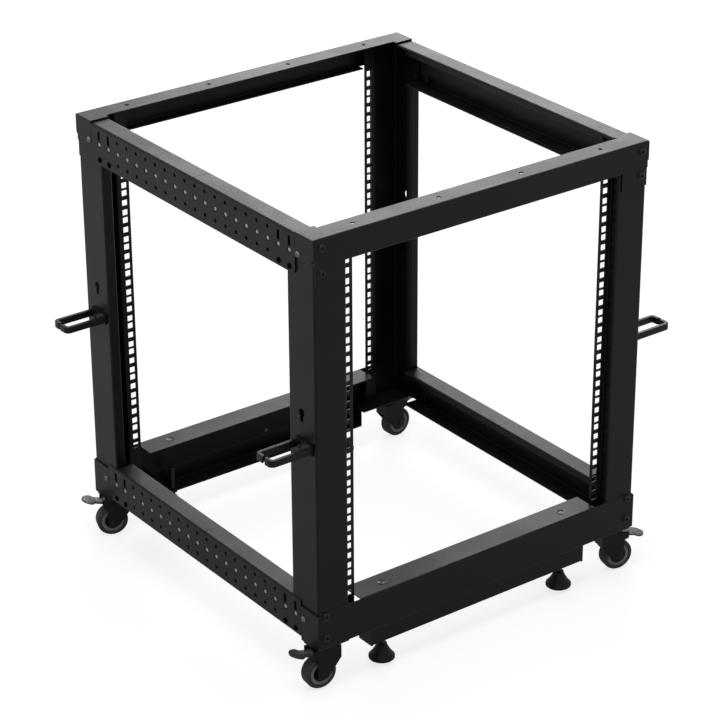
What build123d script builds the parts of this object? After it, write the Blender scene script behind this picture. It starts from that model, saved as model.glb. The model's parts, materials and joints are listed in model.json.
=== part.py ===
# Four post open frame rack, twelve units high, on four swivel casters with levelling feet.
# Millimetres. Z is up, the floor is Z = 0, the front faces -Y, the origin is the centre of the footprint.
import math
import os

from build123d import *

os.makedirs("parts", exist_ok=True)

# rack pattern
unit_pitch = 44.45
unit_count = 12
unit_holes = (unit_pitch / 7, unit_pitch / 2, unit_pitch * 6 / 7)
hole_column = 232.55
square_hole = 9.5
flange_plane = 284.8

# sheet and the room that cuts and fits need
sheet_thick = 2.0
bend_radius = 1.0
slip_gap = 0.3
edge_clear = 1.0
cut_reach = 12.0

# casters, drawn about the swivel axis and trailing to -X
wheel_radius = 25.0
wheel_width = 20.0
wheel_room = 13.0
wheel_trail = 14.0
tyre_inner = 15.5
tyre_round = 3.5
tyre_side_dish = 0.8
axle_radius = 3.0
axle_end = 2.0
axle_boss = 8.0
running_clear = 0.05
hub_width = 16.0
hub_dish_out = 12.5
hub_dish_in = 6.5
hub_dish = 3.0
hub_side_gap = 0.6
fork_gap = 1.5
fork_thick = 2.0
fork_deck = 3.0
fork_front = 17.0
fork_back = 30.0
fork_cheek = 20.0
fork_heel = 12.0
leg_slope = 2.0
leg_front = 8.0
race_gap = 2.0
race_radius = 17.0
race_drop = 3.0
king_radius = 5.0
king_head = 8.0
king_head_thick = 2.5
king_gap = 0.6
caster_plate_x = 58.0
caster_plate_y = 38.0
caster_plate_thick = 3.0
plate_corner = 4.0
pedal_back = 25.0
pedal_drop = 8.0
pedal_pin = 2.0
pedal_barrel = 4.0
pedal_side_gap = 0.8
pedal_reach = 62.0
pedal_thick = 3.0
pedal_neck = 13.0
pedal_paddle = 15.0
pedal_shoulder = 6.0
pedal_clear = 5.5
caster_inset_x = 30.0
caster_inset_y = 21.5
# how each caster stands, as its turn about the swivel axis and the tilt of its pedal
caster_stand = {
    "front_left": (6, 14),
    "front_right": (-12, -11),
    "rear_left": (-20, 14),
    "rear_right": (-4, 14),
}

deck_bottom = 2 * wheel_radius + wheel_room
fork_top = deck_bottom + fork_deck
race_bottom = fork_top + race_gap
plate_bottom = race_bottom + race_drop
caster_height = plate_bottom + caster_plate_thick
pedal_z = fork_top - pedal_drop
fork_inner = wheel_width / 2 + fork_gap

# posts, given as distances from the middle of the rack
flange_margin = 8.85
flange_width = 20.3
post_width = 54.0
post_rise = 14.2
post_side_depth = 63.0
post_lip = 17.0
post_return = 11.6
post_gap = 3.5
lip_room = 3.0
flange_edge = hole_column - flange_margin
post_step = flange_edge + flange_width
post_side = post_step + post_width
post_face = flange_plane + post_rise
lip_back = post_face - post_side_depth

# beams
bottom_beam_height = 59.5
bottom_flange_depth = 42.6
bottom_ear_drop = 2.5
bottom_step_in = 3.0
bottom_step_over = 1.0
lower_wall = 29.3
lower_depth = 31.0
units_gap = 1.5
head_room = 44.6
top_beam_height = 42.0
top_flange_depth = 35.0
top_lip = 16.2
top_hole_pitch = 147.5
top_hole_inset = 18.2
top_hole_radius = 3.3
end_tab_drop = 68.0
end_tab_inset = 6.0
end_tab_margin = 3.0
ear_depth = 42.0
top_ear_drop = 36.0
ear_chamfer = 7.0
beam_side = post_side + sheet_thick
beam_face = post_face + sheet_thick
bottom_beam_base = caster_height
bottom_beam_top = bottom_beam_base + bottom_beam_height
lower_base = bottom_beam_base - lower_wall
units_floor = bottom_beam_top + units_gap
top_z = units_floor + unit_count * unit_pitch + head_room
post_bottom = bottom_beam_base + post_gap
post_top = top_z - post_gap
caster_x = beam_side - caster_inset_x
caster_y = beam_face - caster_inset_y
lower_half = caster_x - pedal_reach - pedal_clear
flange_half = flange_edge - 1.7 * edge_clear

# side rails
rail_height = 62.0
rail_width = 31.5
rail_lip = 10.5
rail_drop = 2.7
rail_rise = 4.0
rail_end_gap = 0.6
rail_seam = -11.8
seam_gap = 0.4
sleeve_grip = 14.0
rail_corner = 10.0
rail_columns = 10
sleeve_columns = 8
front_margin = 12.8
seam_margin = 5.2
row_middle = 33.2
row_spacing = 17.7
middle_hole_radius = 4.2
row_hole_radius = 3.1
blind_depth = 1.4
bolt_row_drop = 6.0
slot_drop = 4.0
slot_width = 6.0
slot_height = 15.0
top_rail_base = top_z - rail_drop - rail_height
bottom_rail_base = bottom_beam_base + rail_rise
rail_end = beam_face - ear_depth - rail_end_gap
rail_clear = lip_back - edge_clear
front_column = -rail_end + front_margin
rail_pitch = (rail_seam - seam_margin - front_column) / (rail_columns - 1)
front_columns = [front_column + i * rail_pitch for i in range(rail_columns)]
rear_columns = [front_columns[-1] + (i + 1) * rail_pitch for i in range(rail_columns)]
sleeve_start = front_columns[-sleeve_columns] - rail_pitch / 2
sleeve_end = rail_seam + sleeve_grip
side_rows = {"top": top_rail_base + row_middle, "bottom": bottom_rail_base + row_middle}

# side fittings on the posts
bolt_radius = 3.3
keyhole_inset = 35.0
keyhole_rise = 308.0
keyhole_radius = 6.5
keyhole_slot = 7.0
keyhole_drop = 12.0
# each pair of cable rings, as its distance in from the beam face and the shift of its bolt
ring_places = {"front": (29.0, 9.0), "rear": (36.5, -9.0)}
ring_drop = 49.0
ring_length = 62.0
ring_width = 40.0
ring_bar = 6.5
ring_height = 10.5
ring_corner = 9.0
ring_edge = 1.2
ring_base_width = 42.0
ring_base_height = 18.0
ring_base_thick = 4.0
ring_slit = 4.6
ring_slit_turn = 30.0
ring_bolt_drop = 4.0
dot_radius = 1.8
dot_spacing = 12.0
dot_rise = 11.3
side_bolt_inset = 35.5
front_bolt_inset = 14.0
top_bolt_drops = (14.0, 51.0)
bottom_bolt_drops = (6.0, 41.5)
keyhole_z = units_floor + keyhole_rise
ring_z = keyhole_z - ring_drop
top_bolts_z = [top_z - drop for drop in top_bolt_drops]
bottom_bolts_z = [bottom_beam_top - drop for drop in bottom_bolt_drops]

# levelling feet
foot_inset = 32.0
foot_lift = 6.0
foot_radius = 19.8
foot_rim = 5.0
foot_shoulder = 8.0
foot_cone = 22.0
foot_collar = 3.0
stem_radius = 5.0
stem_over = 38.0
foot_x = lower_half - foot_inset
foot_y = caster_y


def block(x0, x1, y0, y1, z0, z1):
    # a box between two corners
    middle = Pos((x0 + x1) / 2, (y0 + y1) / 2, (z0 + z1) / 2)
    return middle * Box(abs(x1 - x0), abs(y1 - y0), abs(z1 - z0))


def rod(radius, length, centre, axis):
    # a round bar centred on a point along one of the three axes
    turn = {"x": Rot(0, 90, 0), "y": Rot(90, 0, 0), "z": Rot(0, 0, 0)}[axis]
    return Pos(*centre) * turn * Cylinder(radius, length)


def offset_line(points, amount):
    # the same open line moved sideways, positive to the left of its direction
    count = len(points)
    normals = []
    for i in range(count - 1):
        dx = points[i + 1][0] - points[i][0]
        dy = points[i + 1][1] - points[i][1]
        size = math.hypot(dx, dy)
        normals.append((-dy / size, dx / size))
    moved = []
    for i in range(count):
        before = normals[max(i - 1, 0)]
        after = normals[min(i, count - 2)]
        scale = amount / (1 + before[0] * after[0] + before[1] * after[1])
        sideways = scale * (before[0] + after[0])
        upwards = scale * (before[1] + after[1])
        moved.append((points[i][0] + sideways, points[i][1] + upwards))
    return moved


def sheet_face(points, side):
    # a bent sheet seen along its bends, side +1 puts the metal to the left of the outer line
    inner = offset_line(points, side * sheet_thick)
    face = make_face(Polyline(*points, *reversed(inner), close=True))
    for i in range(1, len(points) - 1):
        a, b, c = points[i - 1], points[i], points[i + 1]
        cross = (b[0] - a[0]) * (c[1] - b[1]) - (b[1] - a[1]) * (c[0] - b[0])
        metal_inside = cross * side > 0
        outer_bend = bend_radius + sheet_thick if metal_inside else bend_radius
        inner_bend = bend_radius if metal_inside else bend_radius + sheet_thick
        for spot, radius in ((points[i], outer_bend), (inner[i], inner_bend)):
            corner = face.vertices().sort_by_distance(Vector(spot[0], spot[1], 0))[0]
            face = fillet(corner, radius)
    return face


def along_x(face, x0, x1):
    # a profile drawn as (y, z) run along X
    return extrude(Plane(origin=(x0, 0, 0), x_dir=(0, 1, 0), z_dir=(1, 0, 0)) * face, x1 - x0)


def along_y(face, y0, y1):
    # a profile drawn as (x, z) run along Y
    return extrude(Plane(origin=(0, y1, 0), x_dir=(1, 0, 0), z_dir=(0, -1, 0)) * face, y1 - y0)


def single(shape):
    # the one solid of a finished shape
    solids = shape.solids()
    if len(solids) != 1:
        raise ValueError(f"{len(solids)} solids where one was meant")
    return solids[0]


def mirrored(shape, right, rear):
    # a front left shape taken to another corner
    if right:
        shape = mirror(shape, about=Plane.YZ)
    if rear:
        shape = mirror(shape, about=Plane.XZ)
    return shape


def save(name, shape):
    export_step(single(shape), f"parts/{name}.step")


corners = {
    "front_left": (False, False),
    "front_right": (True, False),
    "rear_left": (False, True),
    "rear_right": (True, True),
}


def slot_cut(x, y, z):
    # the tall blind slot over a column of the rail
    middle = z + row_spacing - slot_drop
    return Pos(x, y, middle) * Box(2 * blind_depth, slot_width, slot_height)


def make_post(column_y):
    # a lipped channel whose stepped front flange carries the square holes
    line = [
        (-flange_edge, -flange_plane),
        (-post_step, -flange_plane),
        (-post_step, -post_face),
        (-post_side, -post_face),
        (-post_side, -lip_back),
        (-post_side + post_lip, -lip_back),
        (-post_side + post_lip, -lip_back - post_return),
    ]
    post = extrude(Pos(0, 0, post_bottom) * sheet_face(line, -1), post_top - post_bottom)
    cuts = []
    for unit in range(unit_count):
        for rise in unit_holes:
            z = units_floor + unit * unit_pitch + rise
            cuts.append(Pos(-hole_column, -flange_plane, z) * Box(square_hole, cut_reach, square_hole))
    # the lips and the top of the side wall make room for the side rails
    inside = -post_step - 2 * sheet_thick
    lips_front = -lip_back - post_return - lip_room
    lips_back = -lip_back + edge_clear
    low_room = bottom_rail_base + rail_height + lip_room
    for z0, z1 in ((top_rail_base - lip_room, post_top + edge_clear), (post_bottom - edge_clear, low_room)):
        cuts.append(block(-post_side + sheet_thick, inside, lips_front, lips_back, z0, z1))
    wall_top = top_rail_base + rail_height - 2 * sheet_thick - edge_clear
    wall_front = -beam_face + ear_depth - edge_clear
    over = post_top + edge_clear
    cuts.append(block(-post_side - edge_clear, inside, wall_front, lips_back, wall_top, over))
    # keyhole for side fittings
    side_y = -beam_face + keyhole_inset
    low = keyhole_z - keyhole_drop
    cuts.append(rod(keyhole_radius, cut_reach, (-post_side, side_y, keyhole_z), "x"))
    cuts.append(Pos(-post_side, side_y, (low + keyhole_z) / 2) * Box(cut_reach, keyhole_slot, keyhole_drop))
    cuts.append(rod(keyhole_slot / 2, cut_reach, (-post_side, side_y, low), "x"))
    # two small holes over the cable ring
    for step in (-0.5, 0.5):
        spot = (-post_side, side_y + step * dot_spacing, ring_z + dot_rise)
        cuts.append(rod(dot_radius, cut_reach, spot, "x"))
    # bolt holes shared with the beams and the rails
    for z in top_bolts_z + bottom_bolts_z:
        cuts.append(rod(bolt_radius, cut_reach, (-beam_side + front_bolt_inset, -post_face, z), "y"))
    for z in side_rows.values():
        cuts.append(rod(bolt_radius, cut_reach, (-post_side, -beam_face + side_bolt_inset, z), "x"))
        cuts.append(rod(bolt_radius, cut_reach, (-post_side, column_y, z - row_spacing - bolt_row_drop), "x"))
    return post - cuts


for name, (right, rear) in corners.items():
    column = -rear_columns[-1] if rear else front_column
    save(f"{name}_post", mirrored(make_post(column), right, rear))


def beam_bolts(z_values, side_z):
    # the holes at both ends of a beam for the bolts into the posts
    holes = []
    for side in (-1, 1):
        front_x = side * (beam_side - front_bolt_inset)
        for z in z_values:
            holes.append(rod(bolt_radius, cut_reach, (front_x, -beam_face, z), "y"))
        side_y = -beam_face + side_bolt_inset
        holes.append(rod(bolt_radius, cut_reach, (side * beam_side, side_y, side_z), "x"))
    return holes


def make_top_beam():
    # a channel with a deep top flange and a short lower lip, end tabs on the posts and an ear at each end
    base = top_z - top_beam_height
    line = [
        (-beam_face + top_lip, base),
        (-beam_face, base),
        (-beam_face, top_z),
        (-beam_face + top_flange_depth, top_z),
    ]
    beam = along_x(sheet_face(line, -1), -beam_side, beam_side)
    lip_top = base + 2 * (sheet_thick + bend_radius)
    ear_back = -beam_face + ear_depth
    for side in (-1, 1):
        edge = side * (beam_side + edge_clear)
        beam = beam - block(side * flange_half, edge, -post_face, ear_back, base - edge_clear, lip_top)
    for side in (-1, 1):
        edge = side * beam_side
        tab_inner = side * (post_step + end_tab_inset)
        tab_outer = side * (beam_side - end_tab_margin)
        tab = block(tab_inner, tab_outer, -beam_face, -post_face, top_z - end_tab_drop, lip_top)
        ear_front = -post_face - sheet_thick / 2
        ear_low = top_z - top_ear_drop
        ear = block(edge, side * post_side, ear_front, ear_back, ear_low, top_z - sheet_thick / 2)
        roof_front = -beam_face + 2 * (sheet_thick + bend_radius)
        roof = block(edge, side * (beam_side - rail_width), roof_front, ear_back, top_z - sheet_thick, top_z)
        beam = beam + tab + ear + roof
    cuts = []
    for step in (-1.5, -0.5, 0.5, 1.5):
        spot = (step * top_hole_pitch, -beam_face + top_hole_inset, top_z)
        cuts.append(rod(top_hole_radius, cut_reach, spot, "z"))
    for side in (-1, 1):
        corner = Pos(side * beam_side, -beam_face, top_z - top_ear_drop) * Rot(45, 0, 0)
        diagonal = ear_chamfer * math.sqrt(2)
        cuts.append(corner * Box(2 * (sheet_thick - slip_gap / 2), diagonal, diagonal))
    return beam - cuts - beam_bolts(top_bolts_z, side_rows["top"])


def make_bottom_beam():
    # a tall channel open to the inside, its lower wall stepped back and closed short of the casters
    step_face = -beam_face + bottom_step_in
    line = [
        (-beam_face + bottom_flange_depth, bottom_beam_top),
        (-beam_face, bottom_beam_top),
        (-beam_face, bottom_beam_base + bottom_step_over),
        (step_face, bottom_beam_base + bottom_step_over - bottom_step_in),
        (step_face, lower_base),
        (step_face + lower_depth, lower_base),
    ]
    beam = along_x(sheet_face(line, 1), -beam_side, beam_side)
    inner = -beam_face + bottom_flange_depth
    ear_top = bottom_beam_top - bottom_ear_drop
    outer = -beam_face - edge_clear
    over = bottom_beam_top + edge_clear
    under = lower_base - edge_clear
    cuts = []
    for side in (-1, 1):
        edge = side * (beam_side + edge_clear)
        cuts.append(block(side * flange_half, edge, -post_face, inner + edge_clear, ear_top - post_gap, over))
        cuts.append(block(side * (post_side - bend_radius), edge, outer, inner, ear_top, over))
        cuts.append(block(side * lower_half, edge, outer, inner, under, bottom_beam_base))
        cuts.append(rod(stem_radius + running_clear, cut_reach, (side * foot_x, -foot_y, lower_base), "z"))
    beam = beam - cuts
    floor_front = -post_face - slip_gap
    floor_top = bottom_beam_base + sheet_thick
    for side in (-1, 1):
        floor_end = side * (beam_side - sheet_thick / 2)
        cap_inner = side * (lower_half - sheet_thick)
        floor = block(cap_inner, floor_end, floor_front, inner, bottom_beam_base, floor_top)
        cap = block(cap_inner, side * lower_half, step_face, step_face + lower_depth, lower_base, floor_top)
        ear_front = -post_face - sheet_thick / 2
        ear_back = -beam_face + ear_depth
        ear = block(side * beam_side, side * post_side, ear_front, ear_back, bottom_beam_base, ear_top)
        beam = beam + floor + cap + ear
    return beam - beam_bolts(bottom_bolts_z, side_rows["bottom"])


for name, rear in (("front", False), ("rear", True)):
    save(f"{name}_top_beam", mirrored(make_top_beam(), False, rear))
    save(f"{name}_bottom_beam", mirrored(make_bottom_beam(), False, rear))


def rail_line(base, inset):
    # the outer line of a rail channel with one lip, inset for the sleeve that slides inside
    loose = inset + slip_gap if inset else 0
    wide = -beam_side + rail_width - loose
    high = base + rail_height - loose
    low = base + loose
    web = -beam_side + inset
    return [(wide, high - rail_lip), (wide, high), (web, high), (web, low), (wide, low)]


def rail_holes(columns, ends, base):
    # three rows of blind holes, and at the end columns a blind slot and a bolt hole
    cuts = []
    x = -beam_side
    z = base + row_middle
    for i, y in enumerate(columns):
        cuts.append(rod(middle_hole_radius, 2 * blind_depth, (x, y, z), "x"))
        if i < ends:
            cuts.append(slot_cut(x, y, z))
            cuts.append(rod(bolt_radius, cut_reach, (x, y, z - row_spacing - bolt_row_drop), "x"))
        else:
            cuts.append(rod(row_hole_radius, 2 * blind_depth, (x, y, z + row_spacing), "x"))
            cuts.append(rod(row_hole_radius, 2 * blind_depth, (x, y, z - row_spacing), "x"))
    return cuts


def make_rail_half(base, top, inner_end, columns):
    # one half as seen from its own end, its web carried on past the flanges as a tongue on the post
    rail = along_y(sheet_face(rail_line(base, 0), 1), -rail_end, inner_end)
    roof = base + rail_height + edge_clear
    if top:
        roof = base + rail_height - 2 * (sheet_thick + bend_radius) + 2 * edge_clear
    room = -post_side + rail_width + edge_clear
    rail = rail - block(-post_side, room, -rail_end - edge_clear, -rail_clear, base - edge_clear, roof)
    # the lower corner of the tongue is round
    middle = (-beam_side, -rail_end + rail_corner, base + rail_corner)
    corner = block(-beam_side - sheet_thick, -post_side + sheet_thick, -rail_end - edge_clear, middle[1],
                   base - edge_clear, middle[2])
    rail = rail - (corner - rod(rail_corner, cut_reach, middle, "x"))
    return rail - rail_holes(columns, 2, base)


def make_front_rail(base, top):
    # the half that takes the sleeve
    return make_rail_half(base, top, rail_seam, front_columns)


def make_rear_rail(base, top):
    # the half with the sleeve, drawn at the front and turned round to the rear
    half = make_rail_half(base, top, -rail_seam - seam_gap, [-y for y in reversed(rear_columns)])
    sleeve = along_y(sheet_face(rail_line(base, sheet_thick), 1), sleeve_start, sleeve_end)
    return mirror(half, about=Plane.XZ) + sleeve


for level, base in (("top", top_rail_base), ("bottom", bottom_rail_base)):
    for hand, right in (("left", False), ("right", True)):
        save(f"{hand}_{level}_rail_front", mirrored(make_front_rail(base, level == "top"), right, False))
        save(f"{hand}_{level}_rail_rear", mirrored(make_rear_rail(base, level == "top"), right, False))


def make_ring(inset, shift):
    # a base plate on the post and a flat banded loop with a slanting slit at its outer end
    middle = -beam_face + inset
    root = -post_side
    tip = root - ring_length - ring_corner
    length = 2 * (ring_length + ring_corner)
    outer = Pos(root, middle) * RectangleRounded(length, ring_width, ring_corner)
    hole = (length - 2 * ring_bar, ring_width - 2 * ring_bar, ring_corner - ring_bar)
    inner = Pos(root, middle) * RectangleRounded(*hole)
    keep = Pos(root - length / 2, middle) * Rectangle(length, 2 * ring_width)
    loop = extrude(Pos(0, 0, ring_z - ring_height / 2) * ((outer - inner) & keep), ring_height)
    slit_spot = Pos(tip + ring_bar / 2, middle, ring_z) * Rot(0, 0, ring_slit_turn)
    loop = loop - slit_spot * Box(4 * ring_bar, ring_slit, 2 * ring_height)
    base = block(root, root - ring_base_thick, middle - ring_base_width / 2, middle + ring_base_width / 2,
                 ring_z - ring_base_height / 2, ring_z + ring_base_height / 2)
    base = fillet(base.edges().filter_by(Axis.X), ring_base_thick)
    bolt = rod(bolt_radius, 2 * cut_reach, (root, middle + shift, ring_z - ring_bolt_drop), "x")
    tops = [e for e in loop.edges().filter_by(GeomType.CIRCLE) if e.radius > ring_corner - edge_clear]
    tops = tops + [e for e in loop.edges().filter_by(Axis.X) if e.length > ring_length / 2]
    rims = [e for e in tops if abs(abs(e.center().Z - ring_z) - ring_height / 2) < slip_gap]
    loop = fillet(rims, ring_edge)
    return base + loop - bolt


for name, (right, rear) in corners.items():
    inset, shift = ring_places["rear" if rear else "front"]
    save(f"{name}_cable_ring", mirrored(make_ring(inset, shift), right, rear))


def make_caster_plate():
    # top plate, bearing cup and king pin with its head under the fork deck
    half_x = caster_plate_x / 2
    half_y = caster_plate_y / 2
    plate = block(-half_x, half_x, -half_y, half_y, plate_bottom, caster_height)
    plate = fillet(plate.edges().filter_by(Axis.Z), plate_corner)
    cup = Pos(0, 0, (plate_bottom + race_bottom) / 2) * Cylinder(race_radius, race_drop)
    head_top = deck_bottom - king_gap
    pin_length = plate_bottom - head_top + 2 * slip_gap
    pin = Pos(0, 0, (plate_bottom + head_top) / 2) * Cylinder(king_radius, pin_length)
    head = Pos(0, 0, head_top - king_head_thick / 2) * Cylinder(king_head, king_head_thick)
    return plate + cup + pin + head


def make_fork():
    # a folded deck with two cheeks that narrow to the axle, the wheel axle and the pedal pin
    cheek_low = fork_top - fork_cheek
    heel_low = fork_top - fork_heel
    leg_low = wheel_radius - axle_boss
    outline = Polyline(
        (fork_front, fork_top),
        (-fork_back, fork_top),
        (-fork_back, heel_low),
        (-wheel_trail - axle_boss, heel_low - leg_slope),
        (-wheel_trail - axle_boss, leg_low),
        (-wheel_trail + leg_front, leg_low),
        (fork_front, cheek_low),
        close=True,
    )
    leg_face = make_face(outline)
    low = [v for v in leg_face.vertices() if v.Y < leg_low + slip_gap]
    leg_face = fillet(low, axle_boss / 2)
    fork_outer = fork_inner + fork_thick
    legs = [along_y(leg_face, fork_inner, fork_outer), along_y(leg_face, -fork_outer, -fork_inner)]
    wide = fork_inner + fork_thick / 2
    deck = block(-pedal_back + 2 * pedal_barrel, fork_front, -wide, wide, deck_bottom, fork_top)
    axle = rod(axle_radius, 2 * (fork_outer + axle_end), (-wheel_trail, 0, wheel_radius), "y")
    pin = rod(pedal_pin, 2 * fork_inner + fork_thick, (-pedal_back, 0, pedal_z), "y")
    bore = Pos(0, 0, fork_top) * Cylinder(king_radius + running_clear, cut_reach)
    return deck + legs + axle + pin - bore


def make_tyre():
    # a round shouldered ring with slightly dished sides
    middle = (wheel_radius + tyre_inner) / 2
    half = wheel_width / 2
    face = make_face(Polyline(
        (tyre_inner, -half + tyre_side_dish),
        (middle, -half),
        (wheel_radius, -half),
        (wheel_radius, half),
        (middle, half),
        (tyre_inner, half - tyre_side_dish),
        close=True,
    ))
    face = fillet([v for v in face.vertices() if v.X > wheel_radius - slip_gap], tyre_round)
    return Pos(-wheel_trail, 0, wheel_radius) * revolve(face, Axis.Y)


def make_hub():
    # a dished hub with a raised rim ring on each face
    half = hub_width / 2
    disc = Cylinder(tyre_inner, hub_width)
    dish = Cylinder(hub_dish_out, hub_dish) - Cylinder(hub_dish_in, hub_dish)
    disc = disc - Pos(0, 0, half - hub_dish / 2) * dish - Pos(0, 0, -half + hub_dish / 2) * dish
    boss = Cylinder(hub_dish_in, 2 * (fork_inner - hub_side_gap))
    bore = Cylinder(axle_radius + running_clear, 4 * wheel_width)
    return Pos(-wheel_trail, 0, wheel_radius) * Rot(90, 0, 0) * (disc + boss - bore)


def make_pedal(tilt):
    # a barrel on the pedal pin and a paddle with a rounded end, tilted up about the pin
    barrel = rod(pedal_barrel, 2 * (fork_inner - pedal_side_gap), (0, 0, 0), "y")
    tip = pedal_back - pedal_reach + pedal_paddle
    waist = tip + pedal_shoulder
    neck = Polyline(
        (0, pedal_neck / 2),
        (waist, pedal_neck / 2),
        (tip, pedal_paddle),
        (tip, -pedal_paddle),
        (waist, -pedal_neck / 2),
        (0, -pedal_neck / 2),
        close=True,
    )
    outline = make_face(neck) + Pos(tip, 0) * Circle(pedal_paddle)
    paddle = extrude(Pos(0, 0, -pedal_thick / 2) * outline, pedal_thick)
    bore = rod(pedal_pin + running_clear, 4 * fork_inner, (0, 0, 0), "y")
    return Pos(-pedal_back, 0, pedal_z) * Rot(0, tilt, 0) * (barrel + paddle - bore)


def make_foot():
    # a levelling foot, a low cone on a plain stem that stands for the screw
    cone_top = foot_lift + foot_cone
    stem_top = lower_base + stem_over
    profile = Polyline(
        (0, foot_lift),
        (foot_radius, foot_lift),
        (foot_radius, foot_lift + foot_rim),
        (foot_shoulder, cone_top),
        (foot_shoulder, cone_top + foot_collar),
        (stem_radius, cone_top + foot_collar),
        (stem_radius, stem_top),
        (0, stem_top),
        close=True,
    )
    foot = revolve(Plane.XZ * make_face(profile), Axis.Z)
    return Pos(-foot_x, -foot_y, 0) * foot


for name, (right, rear) in corners.items():
    turn, tilt = caster_stand[name]
    pieces = {
        "caster_fork": make_fork(),
        "caster_tyre": make_tyre(),
        "caster_hub": make_hub(),
        "caster_pedal": make_pedal(tilt),
    }
    under = Pos(-caster_x, -caster_y, 0)
    save(f"{name}_caster_plate", mirrored(under * make_caster_plate(), right, rear))
    for piece, shape in pieces.items():
        save(f"{name}_{piece}", mirrored(under * Rot(0, 0, -turn) * shape, right, rear))
    save(f"{name}_foot", mirrored(make_foot(), right, rear))
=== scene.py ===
import json
import math
import bpy
import numpy as np
from mathutils import Matrix, Vector


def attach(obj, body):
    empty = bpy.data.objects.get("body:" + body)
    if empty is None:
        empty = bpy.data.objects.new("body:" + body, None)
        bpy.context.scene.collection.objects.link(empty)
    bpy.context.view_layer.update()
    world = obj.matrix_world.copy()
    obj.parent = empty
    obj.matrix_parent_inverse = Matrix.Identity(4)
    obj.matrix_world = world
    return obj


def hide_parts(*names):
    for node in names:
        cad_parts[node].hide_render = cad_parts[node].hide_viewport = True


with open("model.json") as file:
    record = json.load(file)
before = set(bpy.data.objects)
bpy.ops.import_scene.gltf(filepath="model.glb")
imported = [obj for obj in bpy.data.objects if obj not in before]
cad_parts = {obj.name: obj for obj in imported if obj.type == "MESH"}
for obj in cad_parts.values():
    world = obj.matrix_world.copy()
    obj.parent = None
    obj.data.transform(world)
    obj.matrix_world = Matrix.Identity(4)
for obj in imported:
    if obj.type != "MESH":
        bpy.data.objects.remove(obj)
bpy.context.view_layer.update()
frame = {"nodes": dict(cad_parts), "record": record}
nodes = frame["nodes"]
joints = {j["name"]: j for j in frame["record"]["behaviour"]["joints"]}
mm = 0.001
cornerSigns = {
    "front_left": (-1, -1),
    "front_right": (1, -1),
    "rear_left": (-1, 1),
    "rear_right": (1, 1),
}
print("rack frame loaded with", len(nodes), "nodes")

# camera fitted to the square holes of the posts
cameraSettings = {
    "place": (-2.1987608, -2.9539753, 2.1309601),
    "azimuth": -36.6701,
    "elevation": 26.0307,
    "roll": -0.2918,
    "lens": 134.235,
    "sensor": 36,
    "clipEnd": 50,
}


def makeCamera(s):
    # back axis from azimuth and elevation, right = up x back, then both turned by the roll
    az, el, roll = (math.radians(s[k]) for k in ("azimuth", "elevation", "roll"))
    back = Vector((math.sin(az) * math.cos(el), -math.cos(az) * math.cos(el), math.sin(el)))
    right = Vector((0, 0, 1)).cross(back).normalized()
    up = back.cross(right)
    side = right * math.cos(roll) + up * math.sin(roll)
    high = up * math.cos(roll) - right * math.sin(roll)
    data = bpy.data.cameras.new("camera")
    data.lens = s["lens"]
    data.sensor_width = s["sensor"]
    data.clip_end = s["clipEnd"]
    cam = bpy.data.objects.new("camera", data)
    bpy.context.scene.collection.objects.link(cam)
    turn = Matrix((side, high, back)).transposed().to_4x4()
    cam.matrix_world = Matrix.Translation(s["place"]) @ turn
    bpy.context.scene.camera = cam


makeCamera(cameraSettings)
print("camera set")


def newGroup(name, inputs, outputs):
    # a shader group with its sockets, and its input and output nodes
    tree = bpy.data.node_groups.new(name, "ShaderNodeTree")
    for label, value in inputs.items():
        tree.interface.new_socket(label, in_out="INPUT", socket_type="NodeSocketFloat").default_value = value
    for label in outputs:
        tree.interface.new_socket(label, in_out="OUTPUT", socket_type="NodeSocketFloat")
    return tree, tree.nodes.new("NodeGroupInput"), tree.nodes.new("NodeGroupOutput")


def mathNode(tree, operation, first, second):
    # one sum on two values, each a socket or a plain number
    node = tree.nodes.new("ShaderNodeMath")
    node.operation = operation
    for slot, value in zip(node.inputs, (first, second)):
        if isinstance(value, bpy.types.NodeSocket):
            tree.links.new(value, slot)
        else:
            slot.default_value = value
    return node.outputs[0]


def noiseNode(tree, scale, kind):
    # a noise over the object's own coordinates, its kind a detail and a roughness
    place = tree.nodes.new("ShaderNodeTexCoord")
    node = tree.nodes.new("ShaderNodeTexNoise")
    node.inputs["Detail"].default_value, node.inputs["Roughness"].default_value = kind
    tree.links.new(place.outputs["Object"], node.inputs["Vector"])
    if isinstance(scale, bpy.types.NodeSocket):
        tree.links.new(scale, node.inputs["Scale"])
    else:
        node.inputs["Scale"].default_value = scale
    return node.outputs[0]


def rangeNode(tree, value, ends):
    # the value taken from low..high to 0..1 with soft ends
    node = tree.nodes.new("ShaderNodeMapRange")
    node.interpolation_type = "SMOOTHSTEP"
    tree.links.new(value, node.inputs["Value"])
    node.inputs["From Min"].default_value, node.inputs["From Max"].default_value = ends
    return node.outputs[0]


grainSettings = {
    "inputs": {"Scale": 900.0, "Cloud": 14.0},
    "peel": (3, 0.55),
    "ripple": (2, 0.5),
    "rippleScale": 0.22,
    "rippleShare": 0.6,
    "cloud": (4, 0.6),
    "cloudEnds": (0.3, 0.7),
}


def powderGrainGroup(s):
    # height = fine peel + broader ripple, mottle = a slow cloud over the sheet
    tree, first, last = newGroup("PowderGrain", s["inputs"], ["Height", "Mottle"])
    peel = noiseNode(tree, first.outputs["Scale"], s["peel"])
    broad = mathNode(tree, "MULTIPLY", first.outputs["Scale"], s["rippleScale"])
    ripple = mathNode(tree, "MULTIPLY", noiseNode(tree, broad, s["ripple"]), s["rippleShare"])
    tree.links.new(mathNode(tree, "ADD", ripple, peel), last.inputs["Height"])
    cloud = noiseNode(tree, first.outputs["Cloud"], s["cloud"])
    tree.links.new(rangeNode(tree, cloud, s["cloudEnds"]), last.inputs["Mottle"])
    return tree


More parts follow.
